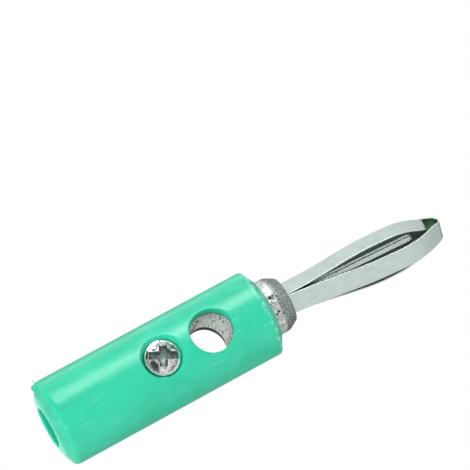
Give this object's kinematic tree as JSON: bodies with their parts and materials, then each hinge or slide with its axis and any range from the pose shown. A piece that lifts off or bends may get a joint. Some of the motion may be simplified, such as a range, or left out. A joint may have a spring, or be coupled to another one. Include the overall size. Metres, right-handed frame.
{
  "type": "banana plug",
  "caption": "Green-sleeved banana plug with a folded-leaf spring contact, a clamp screw for the wire and a cross socket that takes another plug.",
  "frame": {"origin": "centre of the sleeve's flat tail face, which the plug stands on", "axes": "+Z along the plug's axis towards the contact's tip; -Y out through the clamp screw's head and the cross socket"},
  "size_m": [0.0094, 0.0094, 0.0466],
  "materials": {
    "green_plastic": "moulded mint-green plastic, soft sheen",
    "cast_plating": "nickel plated, frosted and pitted",
    "screw_plating": "bright nickel plated steel",
    "leaf_plating": "nickel plated spring strip, satin, drawn lengthwise",
    "pin_plating": "nickel plated, bright"
  },
  "bodies": {
    "plug": {"sleeve": "green_plastic", "plug_body": "cast_plating", "outer_strip": "leaf_plating", "inner_strip": "leaf_plating", "core_pin": "pin_plating"},
    "screw": {"clamp_screw": "screw_plating"}
  },
  "joints": [
    {"name": "screw_travel", "type": "slide", "parent": "plug", "child": "screw", "axis": [0, -1, 0], "range_m": [0, 0.0022]}
  ]
}
